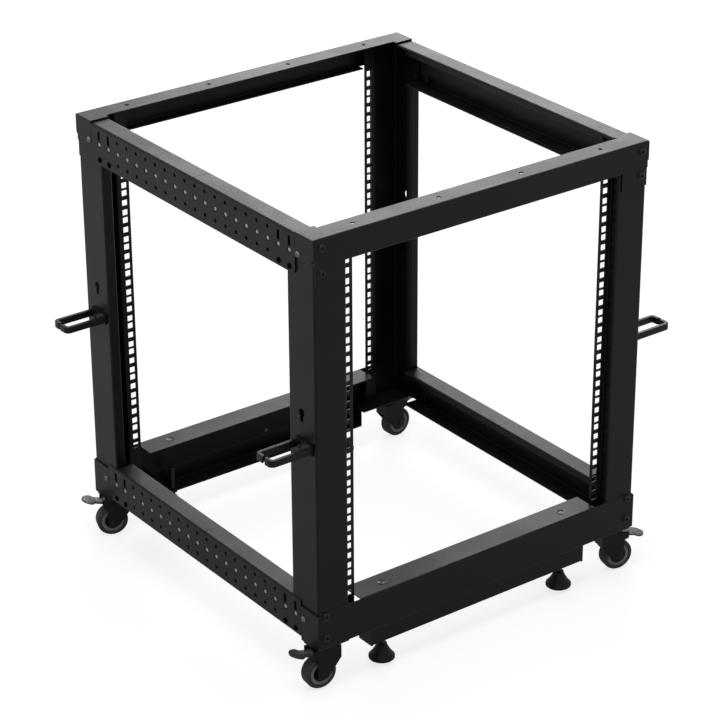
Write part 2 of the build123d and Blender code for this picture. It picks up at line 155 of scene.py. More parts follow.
wearAndHighlightSettings = {
    "inputs": {"Radius": 0.0008, "Break": 160.0},
    "samples": 4,
    "leanEnds": (0.02, 0.25),
    "break": (3, 0.6),
    "breakEnds": (0.35, 0.65),
}


def edgeWearAndHighlightGroup(s):
    # edge = how far the rounded normal leans from the true one, broken up by a noise; it lightens edges as
    # wear and as a painted highlight
    tree, first, last = newGroup("EdgeWearAndHighlight", s["inputs"], ["Edge"])
    bevel = tree.nodes.new("ShaderNodeBevel")
    bevel.samples = s["samples"]
    tree.links.new(first.outputs["Radius"], bevel.inputs["Radius"])
    true = tree.nodes.new("ShaderNodeNewGeometry")
    dot = tree.nodes.new("ShaderNodeVectorMath")
    dot.operation = "DOT_PRODUCT"
    tree.links.new(bevel.outputs[0], dot.inputs[0])
    tree.links.new(true.outputs["Normal"], dot.inputs[1])
    lean = rangeNode(tree, mathNode(tree, "SUBTRACT", 1.0, dot.outputs["Value"]), s["leanEnds"])
    broken = rangeNode(tree, noiseNode(tree, first.outputs["Break"], s["break"]), s["breakEnds"])
    tree.links.new(mathNode(tree, "MULTIPLY", lean, broken), last.inputs["Edge"])
    return tree


dustSettings = {
    "inputs": {"Scale": 30.0},
    "upEnds": (0.5, 0.95),
    "cloud": (5, 0.65),
    "cloudEnds": (0.4, 0.75),
}


def dustGroup(s):
    # dust = how much a face looks up, times a cloud
    tree, first, last = newGroup("Dust", s["inputs"], ["Dust"])
    true = tree.nodes.new("ShaderNodeNewGeometry")
    split = tree.nodes.new("ShaderNodeSeparateXYZ")
    tree.links.new(true.outputs["Normal"], split.inputs[0])
    up = rangeNode(tree, split.outputs["Z"], s["upEnds"])
    cloud = rangeNode(tree, noiseNode(tree, first.outputs["Scale"], s["cloud"]), s["cloudEnds"])
    tree.links.new(mathNode(tree, "MULTIPLY", up, cloud), last.inputs["Dust"])
    return tree


grainGroup = powderGrainGroup(grainSettings)
wearAndHighlightGroup = edgeWearAndHighlightGroup(wearAndHighlightSettings)
dustCloud = dustGroup(dustSettings)


def useGroup(tree, group, values):
    # a group placed in a material with its own values
    node = tree.nodes.new("ShaderNodeGroup")
    node.node_tree = group
    for label, value in values.items():
        node.inputs[label].default_value = value
    return node


def mixColours(tree, factor, first, second):
    # a colour mix, each side a socket or a plain colour
    node = tree.nodes.new("ShaderNodeMix")
    node.data_type = "RGBA"
    tree.links.new(factor, node.inputs["Factor"])
    for slot, value in ((node.inputs[6], first), (node.inputs[7], second)):
        if isinstance(value, bpy.types.NodeSocket):
            tree.links.new(value, slot)
        else:
            slot.default_value = (*value, 1)
    return node.outputs[2]


def makeFinish(name, s):
    # colour = dark and light tones by the mottle, then worn edges with a painted highlight, then dust,
    # with roughness from the mottle and the peel as a bump on a softened edge
    material = bpy.data.materials.new(name)
    material.use_nodes = True
    tree = material.node_tree
    shader = tree.nodes["Principled BSDF"]
    grain = useGroup(tree, grainGroup, {"Scale": s["grain"], "Cloud": s["cloud"]})
    wearAndHighlight = useGroup(tree, wearAndHighlightGroup, {"Radius": s["edgeRadius"], "Break": s["edgeBreak"]})
    dust = useGroup(tree, dustCloud, {"Scale": s["dustScale"]})
    colour = mixColours(tree, grain.outputs["Mottle"], s["dark"], s["light"])
    wornAndHighlit = mathNode(tree, "MULTIPLY", wearAndHighlight.outputs["Edge"], s["edgeAmount"])
    colour = mixColours(tree, wornAndHighlit, colour, s["edgeColour"])
    dusty = mathNode(tree, "MULTIPLY", dust.outputs["Dust"], s["dustAmount"])
    colour = mixColours(tree, dusty, colour, s["dustColour"])
    tree.links.new(colour, shader.inputs["Base Color"])
    spread = mathNode(tree, "MULTIPLY", grain.outputs["Mottle"], s["roughSpread"])
    rough = mathNode(tree, "ADD", spread, s["rough"])
    tree.links.new(rough, shader.inputs["Roughness"])
    shader.inputs["Specular IOR Level"].default_value = s["gloss"]
    soft = tree.nodes.new("ShaderNodeBevel")
    soft.samples = s["softSamples"]
    soft.inputs["Radius"].default_value = s["softEdge"]
    bump = tree.nodes.new("ShaderNodeBump")
    bump.inputs["Strength"].default_value = s["peel"]
    bump.inputs["Distance"].default_value = s["peelDepth"]
    tree.links.new(grain.outputs["Height"], bump.inputs["Height"])
    tree.links.new(soft.outputs[0], bump.inputs["Normal"])
    tree.links.new(bump.outputs[0], shader.inputs["Normal"])
    return material


powderBase = {
    "dark": (0.0036, 0.0036, 0.0039),
    "light": (0.006, 0.006, 0.0065),
    "edgeColour": (0.05, 0.05, 0.053),
    "edgeAmount": 0.35,
    "edgeRadius": 0.0009,
    "edgeBreak": 120.0,
    "dustColour": (0.05, 0.049, 0.047),
    "dustAmount": 0.12,
    "dustScale": 22.0,
    "grain": 850.0,
    "cloud": 9.0,
    "rough": 0.36,
    "roughSpread": 0.07,
    "gloss": 0.145,
    "softEdge": 0.0006,
    "softSamples": 4,
    "peel": 0.25,
    "peelDepth": 0.0003,
}
finishes = {
    "powder_coat": powderBase,
    "ring_plastic": {**powderBase, "gloss": 0.15, "grain": 1500.0, "peel": 0.12, "edgeAmount": 0.1},
    "caster_steel": {**powderBase, "rough": 0.34, "gloss": 0.14, "edgeAmount": 0.4, "peel": 0.15},
    "tyre_rubber": {
        **powderBase,
        "dark": (0.045, 0.045, 0.046),
        "light": (0.075, 0.075, 0.076),
        "edgeColour": (0.13, 0.13, 0.13),
        "rough": 0.6,
        "gloss": 0.2,
        "grain": 1400.0,
        "dustAmount": 0.2,
    },
    "hub_plastic": {**powderBase, "rough": 0.35, "grain": 1600.0, "peel": 0.1, "edgeAmount": 0.2},
    "pedal_plastic": {
        **powderBase,
        "dark": (0.03, 0.03, 0.031),
        "light": (0.045, 0.045, 0.046),
        "rough": 0.4,
        "gloss": 0.4,
        "grain": 1600.0,
    },
    "foot_plastic": {**powderBase, "rough": 0.42, "grain": 1600.0, "peel": 0.1},
    "bolt_black": {
        **powderBase,
        "dark": (0.003, 0.003, 0.0032),
        "light": (0.005, 0.005, 0.0053),
        "rough": 0.22,
        "gloss": 0.22,
        "edgeAmount": 0.25,
        "edgeColour": (0.05, 0.05, 0.052),
        "softEdge": 0.0003,
    },
    # near black, rough and dull: painted shade, on the floors of the blind rail holes and on the rail bolt
    # heads
    "painted_shade_dark": {
        **powderBase,
        "dark": (0.0012, 0.0012, 0.0013),
        "light": (0.002, 0.002, 0.0021),
        "edgeAmount": 0.0,
        "dustAmount": 0.0,
        "rough": 0.8,
        "gloss": 0.03,
    },
    # near white and glossy: a painted highlight in the middle rail holes
    "painted_hole_highlight": {
        **powderBase,
        "dark": (0.62, 0.62, 0.625),
        "light": (0.74, 0.74, 0.745),
        "edgeColour": (0.78, 0.78, 0.78),
        "rough": 0.4,
        "gloss": 0.5,
        "softEdge": 0.0002,
        "peel": 0.08,
    },
    # light grey: the wheel rims' own colour, and a painted highlight on the ear bolts and the rear beam screw
    "grey_and_painted_highlight": {
        **powderBase,
        "dark": (0.24, 0.24, 0.242),
        "light": (0.31, 0.31, 0.312),
        "edgeColour": (0.36, 0.36, 0.36),
        "rough": 0.5,
        "gloss": 0.3,
        "grain": 1500.0,
        "peel": 0.1,
    },
}
materials = {name: makeFinish(name, s) for name, s in finishes.items()}
for row in frame["record"]["subparts"]:
    data = nodes[row["node"]].data
    data.materials.clear()
    data.materials.append(materials[row["material_slot"]])
print("finishes made and put on the rack")


def gridFaces(rows, steps, start):
    # quads between neighbouring rings of a closed grid, as one index array
    i, j = np.meshgrid(np.arange(rows - 1), np.arange(steps), indexing="ij")
    k = (j + 1) % steps
    quads = np.stack((i * steps + j, i * steps + k, (i + 1) * steps + k, (i + 1) * steps + j), axis=-1)
    return quads.reshape(-1, 4) + start


nearUpright = 0.9


def turnTo(axis):
    # a right handed set of two cross directions and the axis itself
    axis = np.asarray(axis, float) / np.linalg.norm(axis)
    other = np.array((0.0, 0.0, 1.0)) if abs(axis[2]) < nearUpright else np.array((1.0, 0.0, 0.0))
    first = np.cross(other, axis)
    first /= np.linalg.norm(first)
    return np.stack((first, np.cross(axis, first), axis))


def ringGrid(radii, heights, centre, axis):
    # point = centre + radius(row, angle) turned round the axis + height(row, angle) along it
    radii, heights = np.broadcast_arrays(np.asarray(radii, float), np.asarray(heights, float))
    angle = np.linspace(0, 2 * math.pi, radii.shape[1], endpoint=False)
    local = np.stack((radii * np.cos(angle), radii * np.sin(angle), heights), axis=-1)
    return np.asarray(centre, float) + local @ turnTo(axis)


smoothAngle = math.radians(35)


def addPiece(name, grids, material, body, closed=False):
    # grids of rings joined into one mesh, open ends closed by one flat face, or wrapped onto the first ring
    points, faces, start = [], [], 0
    for grid in grids:
        rows, steps = grid.shape[:2]
        points.append(grid.reshape(-1, 3))
        quads = gridFaces(rows, steps, start)
        if closed:
            wrap = np.arange(steps)
            after = (wrap + 1) % steps
            top = (rows - 1) * steps
            quads = np.concatenate((quads, np.stack((top + wrap, top + after, after, wrap), axis=-1) + start))
        faces += quads.tolist()
        if not closed:
            faces.append(np.arange(start + steps - 1, start - 1, -1).tolist())
            faces.append(np.arange(start + (rows - 1) * steps, start + rows * steps).tolist())
        start += rows * steps
    mesh = bpy.data.meshes.new(name)
    mesh.from_pydata(np.concatenate(points).tolist(), [], faces)
    mesh.update()
    piece = bpy.data.objects.new(name, mesh)
    bpy.context.scene.collection.objects.link(piece)
    mesh.materials.append(materials[material])
    mesh.polygons.foreach_set("use_smooth", np.ones(len(mesh.polygons), bool))
    mesh.set_sharp_from_angle(angle=smoothAngle)
    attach(piece, body)
    return piece


def hexRadius(apothem, steps):
    # the distance to a hexagon's side in each direction
    angle = np.linspace(0, 2 * math.pi, steps, endpoint=False)
    return apothem / np.cos((angle + math.pi / 6) % (math.pi / 3) - math.pi / 6)


def stackRings(rings, steps, centre, axis):
    # rings of a radius and a height, each a plain number or one for each step, set one after the other
    full = np.ones(steps)
    radius = np.stack([r * full for r, h in rings])
    height = np.stack([h * full for r, h in rings])
    return ringGrid(radius, height, centre, axis)


boltSettings = {
    "steps": 36,
    "flange": 6.6 * mm,
    "flangeThick": 0.9 * mm,
    "flangeEdge": 0.3 * mm,
    "flangeShare": 0.6,
    "head": 5.6 * mm,
    "headHeight": 3.2 * mm,
    "domeRings": 6,
    "crown": 3.4 * mm,
    "socket": 2.0 * mm,
    "socketDepth": 1.9 * mm,
}
railBoltSettings = {
    **boltSettings,
    "flange": 4.6 * mm,
    "flangeThick": 0.5 * mm,
    "head": 4.2 * mm,
    "headHeight": 1.2 * mm,
    "crown": 3.2 * mm,
    "socketDepth": 1.0 * mm,
}


def boltHead(centre, axis, s, scale=1.0):
    # a flanged button head: flange, quarter round dome up to the crown, then a six sided socket going in
    sweep = np.linspace(0, math.pi / 2, s["domeRings"])
    domeRadius = s["crown"] + (s["head"] - s["crown"]) * np.cos(sweep)
    domeHeight = s["flangeThick"] + (s["headHeight"] - s["flangeThick"]) * np.sin(sweep)
    radii = np.concatenate(([s["flange"], s["flange"], s["flange"] - s["flangeEdge"]], domeRadius))
    heights = np.concatenate(([0, s["flangeThick"] * s["flangeShare"], s["flangeThick"]], domeHeight))
    full = np.ones(s["steps"])
    socket = hexRadius(s["socket"], s["steps"])
    radiusGrid = np.concatenate((radii[:, None] * full, [socket, socket]))
    low = s["headHeight"] - s["socketDepth"]
    heightGrid = np.concatenate((heights, [s["headHeight"], low]))[:, None] * full
    return ringGrid(radiusGrid * scale, heightGrid * scale, centre, axis)


nutSettings = {
    "steps": 36,
    "flat": 5.0 * mm,
    "height": 5.0 * mm,
    "chamfer": 0.6 * mm,
    "cutBack": 1.03,
    "bolt": 3.0 * mm,
    "end": 6.8 * mm,
    "endChamfer": 0.5 * mm,
    "washer": 6.4 * mm,
    "washerThick": 1.2 * mm,
}


def hexNut(centre, axis, s):
    # a washer, a six sided nut cut back to a circle at its outer edge, then the bolt's own end
    six = hexRadius(s["flat"], s["steps"])
    cut = np.minimum(six, s["flat"] * s["cutBack"])
    rings = [
        (s["washer"], 0),
        (s["washer"], s["washerThick"]),
        (six, s["washerThick"]),
        (six, s["height"] - s["chamfer"]),
        (cut, s["height"]),
        (s["bolt"], s["height"]),
        (s["bolt"], s["end"] - s["endChamfer"]),
        (s["bolt"] - s["endChamfer"], s["end"]),
    ]
    return stackRings(rings, s["steps"], centre, axis)


rackSettings = {
    "face": 301 * mm,
    "side": 300 * mm,
    "frontBoltX": 286 * mm,
    "frontBoltZ": (699 * mm, 662 * mm, 127.5 * mm, 92 * mm),
    "sideBoltY": 265.5 * mm,
    "sideBoltZ": (681.5 * mm, 111.2 * mm),
    "earBoltScale": 0.72,
    "railBoltZ": (657.8 * mm, 87.5 * mm),
    "railFrontY": (-245.6 * mm, -220.2 * mm),
    "railRearY": (237 * mm, 211.6 * mm),
    "railNutX": (296 * mm, 298 * mm),
    "ringBolt": {-1: (302 * mm, -263 * mm, 390 * mm), 1: (302 * mm, 273.5 * mm, 390 * mm)},
    "ringBoltScale": 0.65,
    "plateCentre": (270 * mm, 279.5 * mm, 71 * mm),
    "plateBolts": (22 * mm, 12 * mm),
    "plateBoltScale": 0.6,
    "beamScrew": (28.6 * mm, 299 * mm, 79 * mm),
    "beamScrewScale": 0.5,
}


def fitBolts(s):
    # heads on every beam end, ear, rail end, ring base and caster plate, nuts behind the rail bolts
    for corner, (sx, sy) in cornerSigns.items():
        heads, ears, nuts, paintedShadeHeads = [], [], [], []
        for z in s["frontBoltZ"]:
            heads.append(boltHead((sx * s["frontBoltX"], sy * s["face"], z), (0, sy, 0), boltSettings))
        for z in s["sideBoltZ"]:
            spot = (sx * s["side"], sy * s["sideBoltY"], z)
            ears.append(boltHead(spot, (sx, 0, 0), boltSettings, s["earBoltScale"]))
        ringX, ringY, ringZ = s["ringBolt"][sy]
        heads.append(boltHead((sx * ringX, ringY, ringZ), (sx, 0, 0), boltSettings, s["ringBoltScale"]))
        plateX, plateY, plateZ = s["plateCentre"]
        for dx, dy in ((-1, -1), (-1, 1), (1, -1), (1, 1)):
            spot = (sx * plateX + dx * s["plateBolts"][0], sy * plateY + dy * s["plateBolts"][1], plateZ)
            heads.append(boltHead(spot, (0, 0, -1), boltSettings, s["plateBoltScale"]))
        columns = s["railFrontY"] if sy < 0 else s["railRearY"]
        for z in s["railBoltZ"]:
            for y, x in zip(columns, s["railNutX"]):
                # rail bolt heads near black: painted shade
                paintedShadeHeads.append(boltHead((sx * s["side"], y, z), (sx, 0, 0), railBoltSettings))
                nuts.append(hexNut((sx * x, y, z), (-sx, 0, 0), nutSettings))
        addPiece(corner + "_bolts", heads, "bolt_black", "frame")
        # ear bolt heads in light grey: painted highlight
        addPiece(corner + "_ear_bolts", ears, "grey_and_painted_highlight", "frame")
        addPiece(corner + "_rail_bolts", paintedShadeHeads, "painted_shade_dark", "frame")
        addPiece(corner + "_nuts", nuts, "bolt_black", "frame")
    # rear beam screw in light grey: painted highlight
    screw = boltHead(s["beamScrew"], (0, -1, 0), boltSettings, s["beamScrewScale"])
    addPiece("rear_beam_screw", [screw], "grey_and_painted_highlight", "frame")


fitBolts(rackSettings)
print("bolts and nuts fitted")

blindSettings = {
    "floor": 298.6 * mm,
    "firstY": -245.6 * mm,
    "pitch": 25.4 * mm,
    "columns": 20,
    "ends": 2,
    "middleZ": {"top": 681.5 * mm, "bottom": 111.2 * mm},
    "rowRise": 17.7 * mm,
    "slotRise": 13.7 * mm,
    "dot": 3.02 * mm,
    "dotSteps": 12,
    "middle": 4.12 * mm,
    "middleSteps": 16,
    "highlightStud": 3.1 * mm,
    "highlightStudShares": (1.0, 1.0, 0.85, 0.4),
    "highlightStudRises": (0.05 * mm, 0.8 * mm, 1.1 * mm, 1.2 * mm),
    "highlightStudSteps": 16,
    "slot": (2.95 * mm, 7.45 * mm),
    "slotPower": 10,
    "slotSteps": 40,
    "floorShares": (1.0, 0.95, 0.4),
    "floorRises": (0.0, 0.15 * mm, 0.06 * mm),
}


def blindFloor(s, radius, centre, axis):
    # a thin dish: its outline at the floor, a little smaller above it, and lower again near the middle; in
    # near black it is painted shade in a blind hole
    rings = [(share * radius, rise) for share, rise in zip(s["floorShares"], s["floorRises"])]
    return stackRings(rings, len(radius), centre, axis)


def holeHighlightStud(s, centre, axis):
    # a bright stud on the floor of a middle hole, a painted highlight: a short wall, then a dome of three
    # rings
    rings = [(share * s["highlightStud"], rise) for share, rise in zip(s["highlightStudShares"], s["highlightStudRises"])]
    return stackRings(rings, s["highlightStudSteps"], centre, axis)


def fitBlindFloors(s):
    # slot outline: 1 / r^p = |cos / a|^p + |sin / b|^p, dots are plain circles, one set on each rail; the
    # dishes are near black painted shade, each middle one with a bright stud as a painted highlight
    angle = np.linspace(0, 2 * math.pi, s["slotSteps"], endpoint=False)
    a, b = s["slot"]
    power = s["slotPower"]
    slot = (np.abs(np.cos(angle) / a) ** power + np.abs(np.sin(angle) / b) ** power) ** (-1 / power)
    dot, middle = np.full(s["dotSteps"], s["dot"]), np.full(s["middleSteps"], s["middle"])
    for hand, sx in (("left", -1), ("right", 1)):
        out = (sx, 0, 0)
        for level, z in s["middleZ"].items():
            grids, highlightStuds = [], []
            for i in range(s["columns"]):
                x, y = sx * s["floor"], s["firstY"] + i * s["pitch"]
                grids.append(blindFloor(s, middle, (x, y, z), out))
                highlightStuds.append(holeHighlightStud(s, (x, y, z), out))
                if s["ends"] <= i < s["columns"] - s["ends"]:
                    for side in (-1, 1):
                        grids.append(blindFloor(s, dot, (x, y, z + side * s["rowRise"]), out))
                else:
                    grids.append(blindFloor(s, slot, (x, y, z + s["slotRise"]), out))
            addPiece(f"{hand}_{level}_rail_hole_floors", grids, "painted_shade_dark", "frame")
            addPiece(f"{hand}_{level}_rail_highlight_studs", highlightStuds, "painted_hole_highlight", "frame")


fitBlindFloors(blindSettings)
print("floors of the blind holes laid")

tyreSettings = {
    "radius": 25 * mm,
    "inner": 18.9 * mm,
    "half": 10 * mm,
    "round": 3.5 * mm,
    "roundRings": 7,
    "beadRise": 0.5 * mm,
    "beadDrops": (1.4 * mm, 0.15 * mm),
    "groove": 0.5 * mm,
    "grooveAt": 4.2 * mm,
    "grooveWidth": 0.8 * mm,
    "steps": 72,
}


def tyreProfile(s):
    # one side from the lip to the shoulder, a rounded shoulder, then a tread with two shallow grooves
    sweep = np.linspace(0, math.pi / 2, s["roundRings"])
    shoulderR = s["radius"] - s["round"] + s["round"] * np.sin(sweep)
    shoulderH = s["half"] - s["round"] + s["round"] * np.cos(sweep)
    bead = np.array((s["inner"], s["inner"] + s["beadRise"]))
    beadH = s["half"] - np.array(s["beadDrops"])
    grooveH = s["grooveAt"] + np.array((1.0, 0.5, -0.5, -1.0)) * s["grooveWidth"] / 2
    grooveR = s["radius"] - s["groove"] * np.array((0, 1, 1, 0))
    radius = np.concatenate((bead, shoulderR, grooveR))
    height = np.concatenate((beadH, shoulderH, grooveH))
    return np.concatenate((radius, radius[::-1])), np.concatenate((height, -height[::-1]))


rimSettings = {
    "inner": 13.3 * mm,
    "outer": 18.7 * mm,
    "half": 9.75 * mm,
    "edge": 0.7 * mm,
    "drops": (0.6 * mm, 0.2 * mm, 0, 1.4 * mm),
}


def rimProfile(s):
    # one side from the hub outwards, dished at the hub, flat, then falling at the edge, and the same back
    radius = np.array((s["inner"], s["inner"] + s["edge"], s["outer"] - s["edge"], s["outer"]))
    height = s["half"] - np.array(s["drops"])
    return np.concatenate((radius, radius[::-1])), np.concatenate((height, -height[::-1]))


hubSettings = {
    "rim": 13.2 * mm,
    "rimIn": 11.4 * mm,
    "rimRound": (0.4 * mm, 0.3 * mm),
    "boss": 6.4 * mm,
    "bossEdge": 0.8 * mm,
    "bossRound": (0.3 * mm, 0.4 * mm),
    "half": 8 * mm,
    "bossHalf": 10.6 * mm,
    "dish": 4.2 * mm,
    "fillet": (0.5 * mm, 0.3 * mm),
    "bore": 3.1 * mm,
    "spokes": 6,
    "spokeWidth": 0.34,
    "spokeDrop": 0.7 * mm,
    "steps": 96,
}


def hubGrid(s, centre, axis):
    # from bore to rim: boss, a dished web whose spokes stand up where cos(spokes x angle) is high,
    # rim ring, then the same back
    angle = np.linspace(0, 2 * math.pi, s["steps"], endpoint=False)
    width = s["spokeWidth"]
    spoke = np.clip((np.cos(s["spokes"] * angle) - 1 + 2 * width) / width, 0, 1)
    web = s["half"] - s["dish"] + spoke * (s["dish"] - s["spokeDrop"])
    foot, rise = s["fillet"]
    rings = [
        (s["bore"], s["bossHalf"]),
        (s["boss"] - s["bossEdge"], s["bossHalf"]),
        (s["boss"] - s["bossRound"][0], s["bossHalf"] - s["bossRound"][1]),
        (s["boss"], web + rise),
        (s["boss"] + foot, web),
        (s["rimIn"] - foot, web),
        (s["rimIn"], s["half"] - s["rimRound"][1]),
        (s["rimIn"] + s["rimRound"][0], s["half"]),
        (s["rim"], s["half"]),
    ]
    rings += [(radius, -height) for radius, height in reversed(rings)]
    return stackRings(rings, s["steps"], centre, axis)


pedalSettings = {
    "tilts": {"front_left": 14, "front_right": -11, "rear_left": 14, "rear_right": 14},
    "back": 25 * mm,
    "reach": 62 * mm,
    "neck": 10.2 * mm,
    "paddle": 15 * mm,
    "shoulder": 6 * mm,
    "thick": 3.0 * mm,
    "edgePowers": (0.55, 0.35),
    "start": 3.2 * mm,
    "tipGap": 0.02 * mm,
    "barrel": 4.0 * mm,
    "barrelHalf": 10.7 * mm,
    "barrelSteps": 32,
    "bore": 2.05 * mm,
    "ribs": 4,
    "ribHeight": 0.7 * mm,
    "ribStart": 8 * mm,
    "ribSpan": 15 * mm,
    "ribReach": 0.8,
    "columns": 56,
    "rows": 15,
}


def pedalGrid(s, pin, along, up):
    # a plate along u with a half width of neck then round paddle, ribs as a wave across it, its edge rounded
    reach = s["reach"] - s["back"]
    tip = reach - s["paddle"]
    u = np.linspace(s["start"], reach - s["tipGap"], s["columns"])
    shoulder = np.clip((u - (tip - s["shoulder"])) / s["shoulder"], 0, 1)
    wide = s["neck"] + (s["paddle"] - s["neck"]) * shoulder ** 2 * (3 - 2 * shoulder)
    roundEnd = np.sqrt(np.clip(s["paddle"] ** 2 - np.clip(u - tip, 0, None) ** 2, 0, None))
    wide = np.where(u > tip, roundEnd, wide)
    around = np.linspace(0, 2 * math.pi, 2 * s["rows"], endpoint=False)
    crossPower, liftPower = s["edgePowers"]
    cross = np.sign(np.cos(around)) * np.abs(np.cos(around)) ** crossPower
    lift = np.sign(np.sin(around)) * np.abs(np.sin(around)) ** liftPower
    share = np.clip((u - tip + s["ribStart"]) / s["ribSpan"], 0, 1)
    rib = (0.5 - 0.5 * np.cos(2 * math.pi * s["ribs"] * share)) * (u > tip - s["ribStart"])
    top = s["thick"] / 2 + s["ribHeight"] * rib[:, None] * (lift > 0) * (np.abs(cross) < s["ribReach"])
    side = np.cross(up, along)
    return (
        np.asarray(pin)
        + u[:, None, None] * np.asarray(along)
        + (wide[:, None] * cross)[..., None] * side
        + (top * lift)[..., None] * np.asarray(up)
    )


axleSettings = {"out": 13.5 * mm, "scale": 0.62}
noseSettings = {
    "ahead": 16.1 * mm,
    "z": 55 * mm,
    "half": (11.4 * mm, 8.6 * mm),
    "rise": 0.85 * mm,
    "ease": 0.2 * mm,
    "power": 0.12,
    "steps": 64,
}


def noseGrid(s, centre, out):
    # a thin plate with round corners: a cos^q across + b sin^q up, its edge eased at both faces
    angle = np.linspace(0, 2 * math.pi, s["steps"], endpoint=False)
    first = np.sign(np.cos(angle)) * np.abs(np.cos(angle)) ** s["power"]
    second = np.sign(np.sin(angle)) * np.abs(np.sin(angle)) ** s["power"]
    inset = np.array((1, 0, 0, 1))[:, None] * s["ease"]
    level = np.array((-s["rise"], s["ease"] - s["rise"], s["rise"] - s["ease"], s["rise"]))
    up = np.array((0.0, 0.0, 1.0))
    wide = ((s["half"][0] - inset) * first)[..., None] * np.cross(up, out)
    tall = ((s["half"][1] - inset) * second)[..., None] * up
    return centre + wide + tall + level[:, None, None] * out


def fitCasters():
    # the record's joints give each wheel centre, pedal pin and direction, so the pieces follow the CAD
    for corner in cornerSigns:
        roll, press = joints[corner + "_wheel_roll"], joints[corner + "_brake_press"]
        centre, axis = np.array(roll["pos_m"]), np.array(roll["axis"], float)
        full = np.ones(tyreSettings["steps"])
        wheel, swivel, brake = corner + "_wheel", corner + "_swivel", corner + "_brake"
        radius, height = tyreProfile(tyreSettings)
        tyre = ringGrid(radius[:, None] * full, height[:, None] * full, centre, axis)
        piece = addPiece(corner + "_tyre", [tyre[::-1]], "tyre_rubber", wheel, True)
        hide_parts(corner + "_caster_tyre")
        radius, height = rimProfile(rimSettings)
        rim = ringGrid(radius[:, None] * full, height[:, None] * full, centre, axis)
        addPiece(corner + "_rim", [rim[::-1]], "grey_and_painted_highlight", wheel, True)
        hub = hubGrid(hubSettings, centre, axis)
        piece = addPiece(corner + "_hub", [hub[::-1]], "hub_plastic", wheel, True)
        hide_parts(corner + "_caster_hub")
        s = pedalSettings
        pin, turn = np.array(press["pos_m"]), np.array(joints[corner + "_swivel_turn"]["pos_m"])
        out = pin - turn
        out[2] = 0
        out /= np.linalg.norm(out)
        tilt = math.radians(s["tilts"][corner])
        lean = out * math.cos(tilt) + np.array((0, 0, math.sin(tilt)))
        rise = np.array((0, 0, math.cos(tilt))) - out * math.sin(tilt)
        paddle = pedalGrid(s, pin, lean, rise)
        piece = addPiece(corner + "_pedal", [paddle], "pedal_plastic", brake)
        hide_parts(corner + "_caster_pedal")
        half = s["barrelHalf"]
        rings = [(s["bore"], -half), (s["barrel"], -half), (s["barrel"], half), (s["bore"], half)]
        barrel = stackRings(rings, s["barrelSteps"], pin, press["axis"])
        addPiece(corner + "_pedal_barrel", [barrel], "pedal_plastic", brake, True)
        nuts = []
        for end in (-1, 1):
            spot = centre + axis * end * axleSettings["out"]
            nuts.append(boltHead(spot, axis * end, boltSettings, axleSettings["scale"]))
        addPiece(corner + "_axle_nuts", nuts, "bolt_black", swivel)
        place = turn - out * noseSettings["ahead"]
        place[2] = noseSettings["z"]
        nose = noseGrid(noseSettings, place, -out)
        addPiece(corner + "_fork_nose", [nose], "caster_steel", swivel)


fitCasters()
print("casters dressed")

footSettings = {
    "x": 170.5 * mm,
    "y": 279.5 * mm,
    "lift": 6 * mm,
    "radius": 19.8 * mm,
    "baseEdge": 1.2 * mm,
    "rim": 5 * mm,
    "rimRound": 0.9 * mm,
    "rimStep": 1 * mm,
    "shoulder": 8 * mm,
    "coneTop": 28 * mm,
    "coneRings": 6,
    "conePower": 0.8,
    "collarTop": 31 * mm,
    "collarRound": 0.6 * mm,
    "grips": 24,
    "gripDepth": 0.5 * mm,
    "steps": 96,
    "flangeBottom": 44.7 * mm,
}


def footGrid(s, centre):
    # a pad with a gripped rim, its radius less by a wave round it, then a cone up to a collar
    angle = np.linspace(0, 2 * math.pi, s["steps"], endpoint=False)
    grip = s["gripDepth"] * (0.5 - 0.5 * np.cos(s["grips"] * angle))
    share = np.linspace(0, 1, s["coneRings"] + 1)[1:]
    rimTop, foot = s["lift"] + s["rim"], s["radius"] - s["rimStep"]
    cone = foot + (s["shoulder"] - foot) * share ** s["conePower"]
    coneZ = rimTop + (s["coneTop"] - rimTop) * share
    collar = s["collarRound"]
    rings = [
        (s["radius"] - s["baseEdge"], s["lift"]),
        (s["radius"] - 0.5 * grip, s["lift"] + s["rimRound"]),
        (s["radius"] - grip, s["lift"] + s["rim"] * 0.5),
        (s["radius"] - grip, rimTop - s["rimRound"]),
        (foot - 0.3 * grip, rimTop),
        *zip(cone, coneZ),
        (s["shoulder"], s["collarTop"] - collar),
        (s["shoulder"] - collar, s["collarTop"]),
    ]
    return stackRings(rings, s["steps"], centre, (0, 0, 1))


studSettings = {
    "radius": 5 * mm,
    "bottom": 30 * mm,
    "top": 82.7 * mm,
    "thread": 1.5 * mm,
    "threadDepth": 0.55 * mm,
    "taper": 1.2 * mm,
    "taperDepth": 0.8 * mm,
    "steps": 40,
    "rings": 240,
}


def studGrid(s, centre):
    # radius falls by the thread depth as a wave that climbs one pitch a turn, and tapers at the top
    turn = np.linspace(0, 1, s["steps"], endpoint=False)
    z = np.linspace(s["bottom"], s["top"], s["rings"])
    wave = np.abs(2 * ((z[:, None] / s["thread"] - turn) % 1) - 1)
    ends = np.clip((s["top"] - z) / s["taper"], 0, 1)[:, None]
    radius = s["radius"] - s["threadDepth"] * wave - (1 - ends) * s["taperDepth"]
    return ringGrid(radius, z[:, None] * np.ones(s["steps"]), centre, (0, 0, 1))


footNut = {
    "steps": 36,
    "flat": 8.0 * mm,
    "height": 5.5 * mm,
    "chamfer": 0.7 * mm,
    "cutBack": 1.03,
    "bore": 5.2 * mm,
}


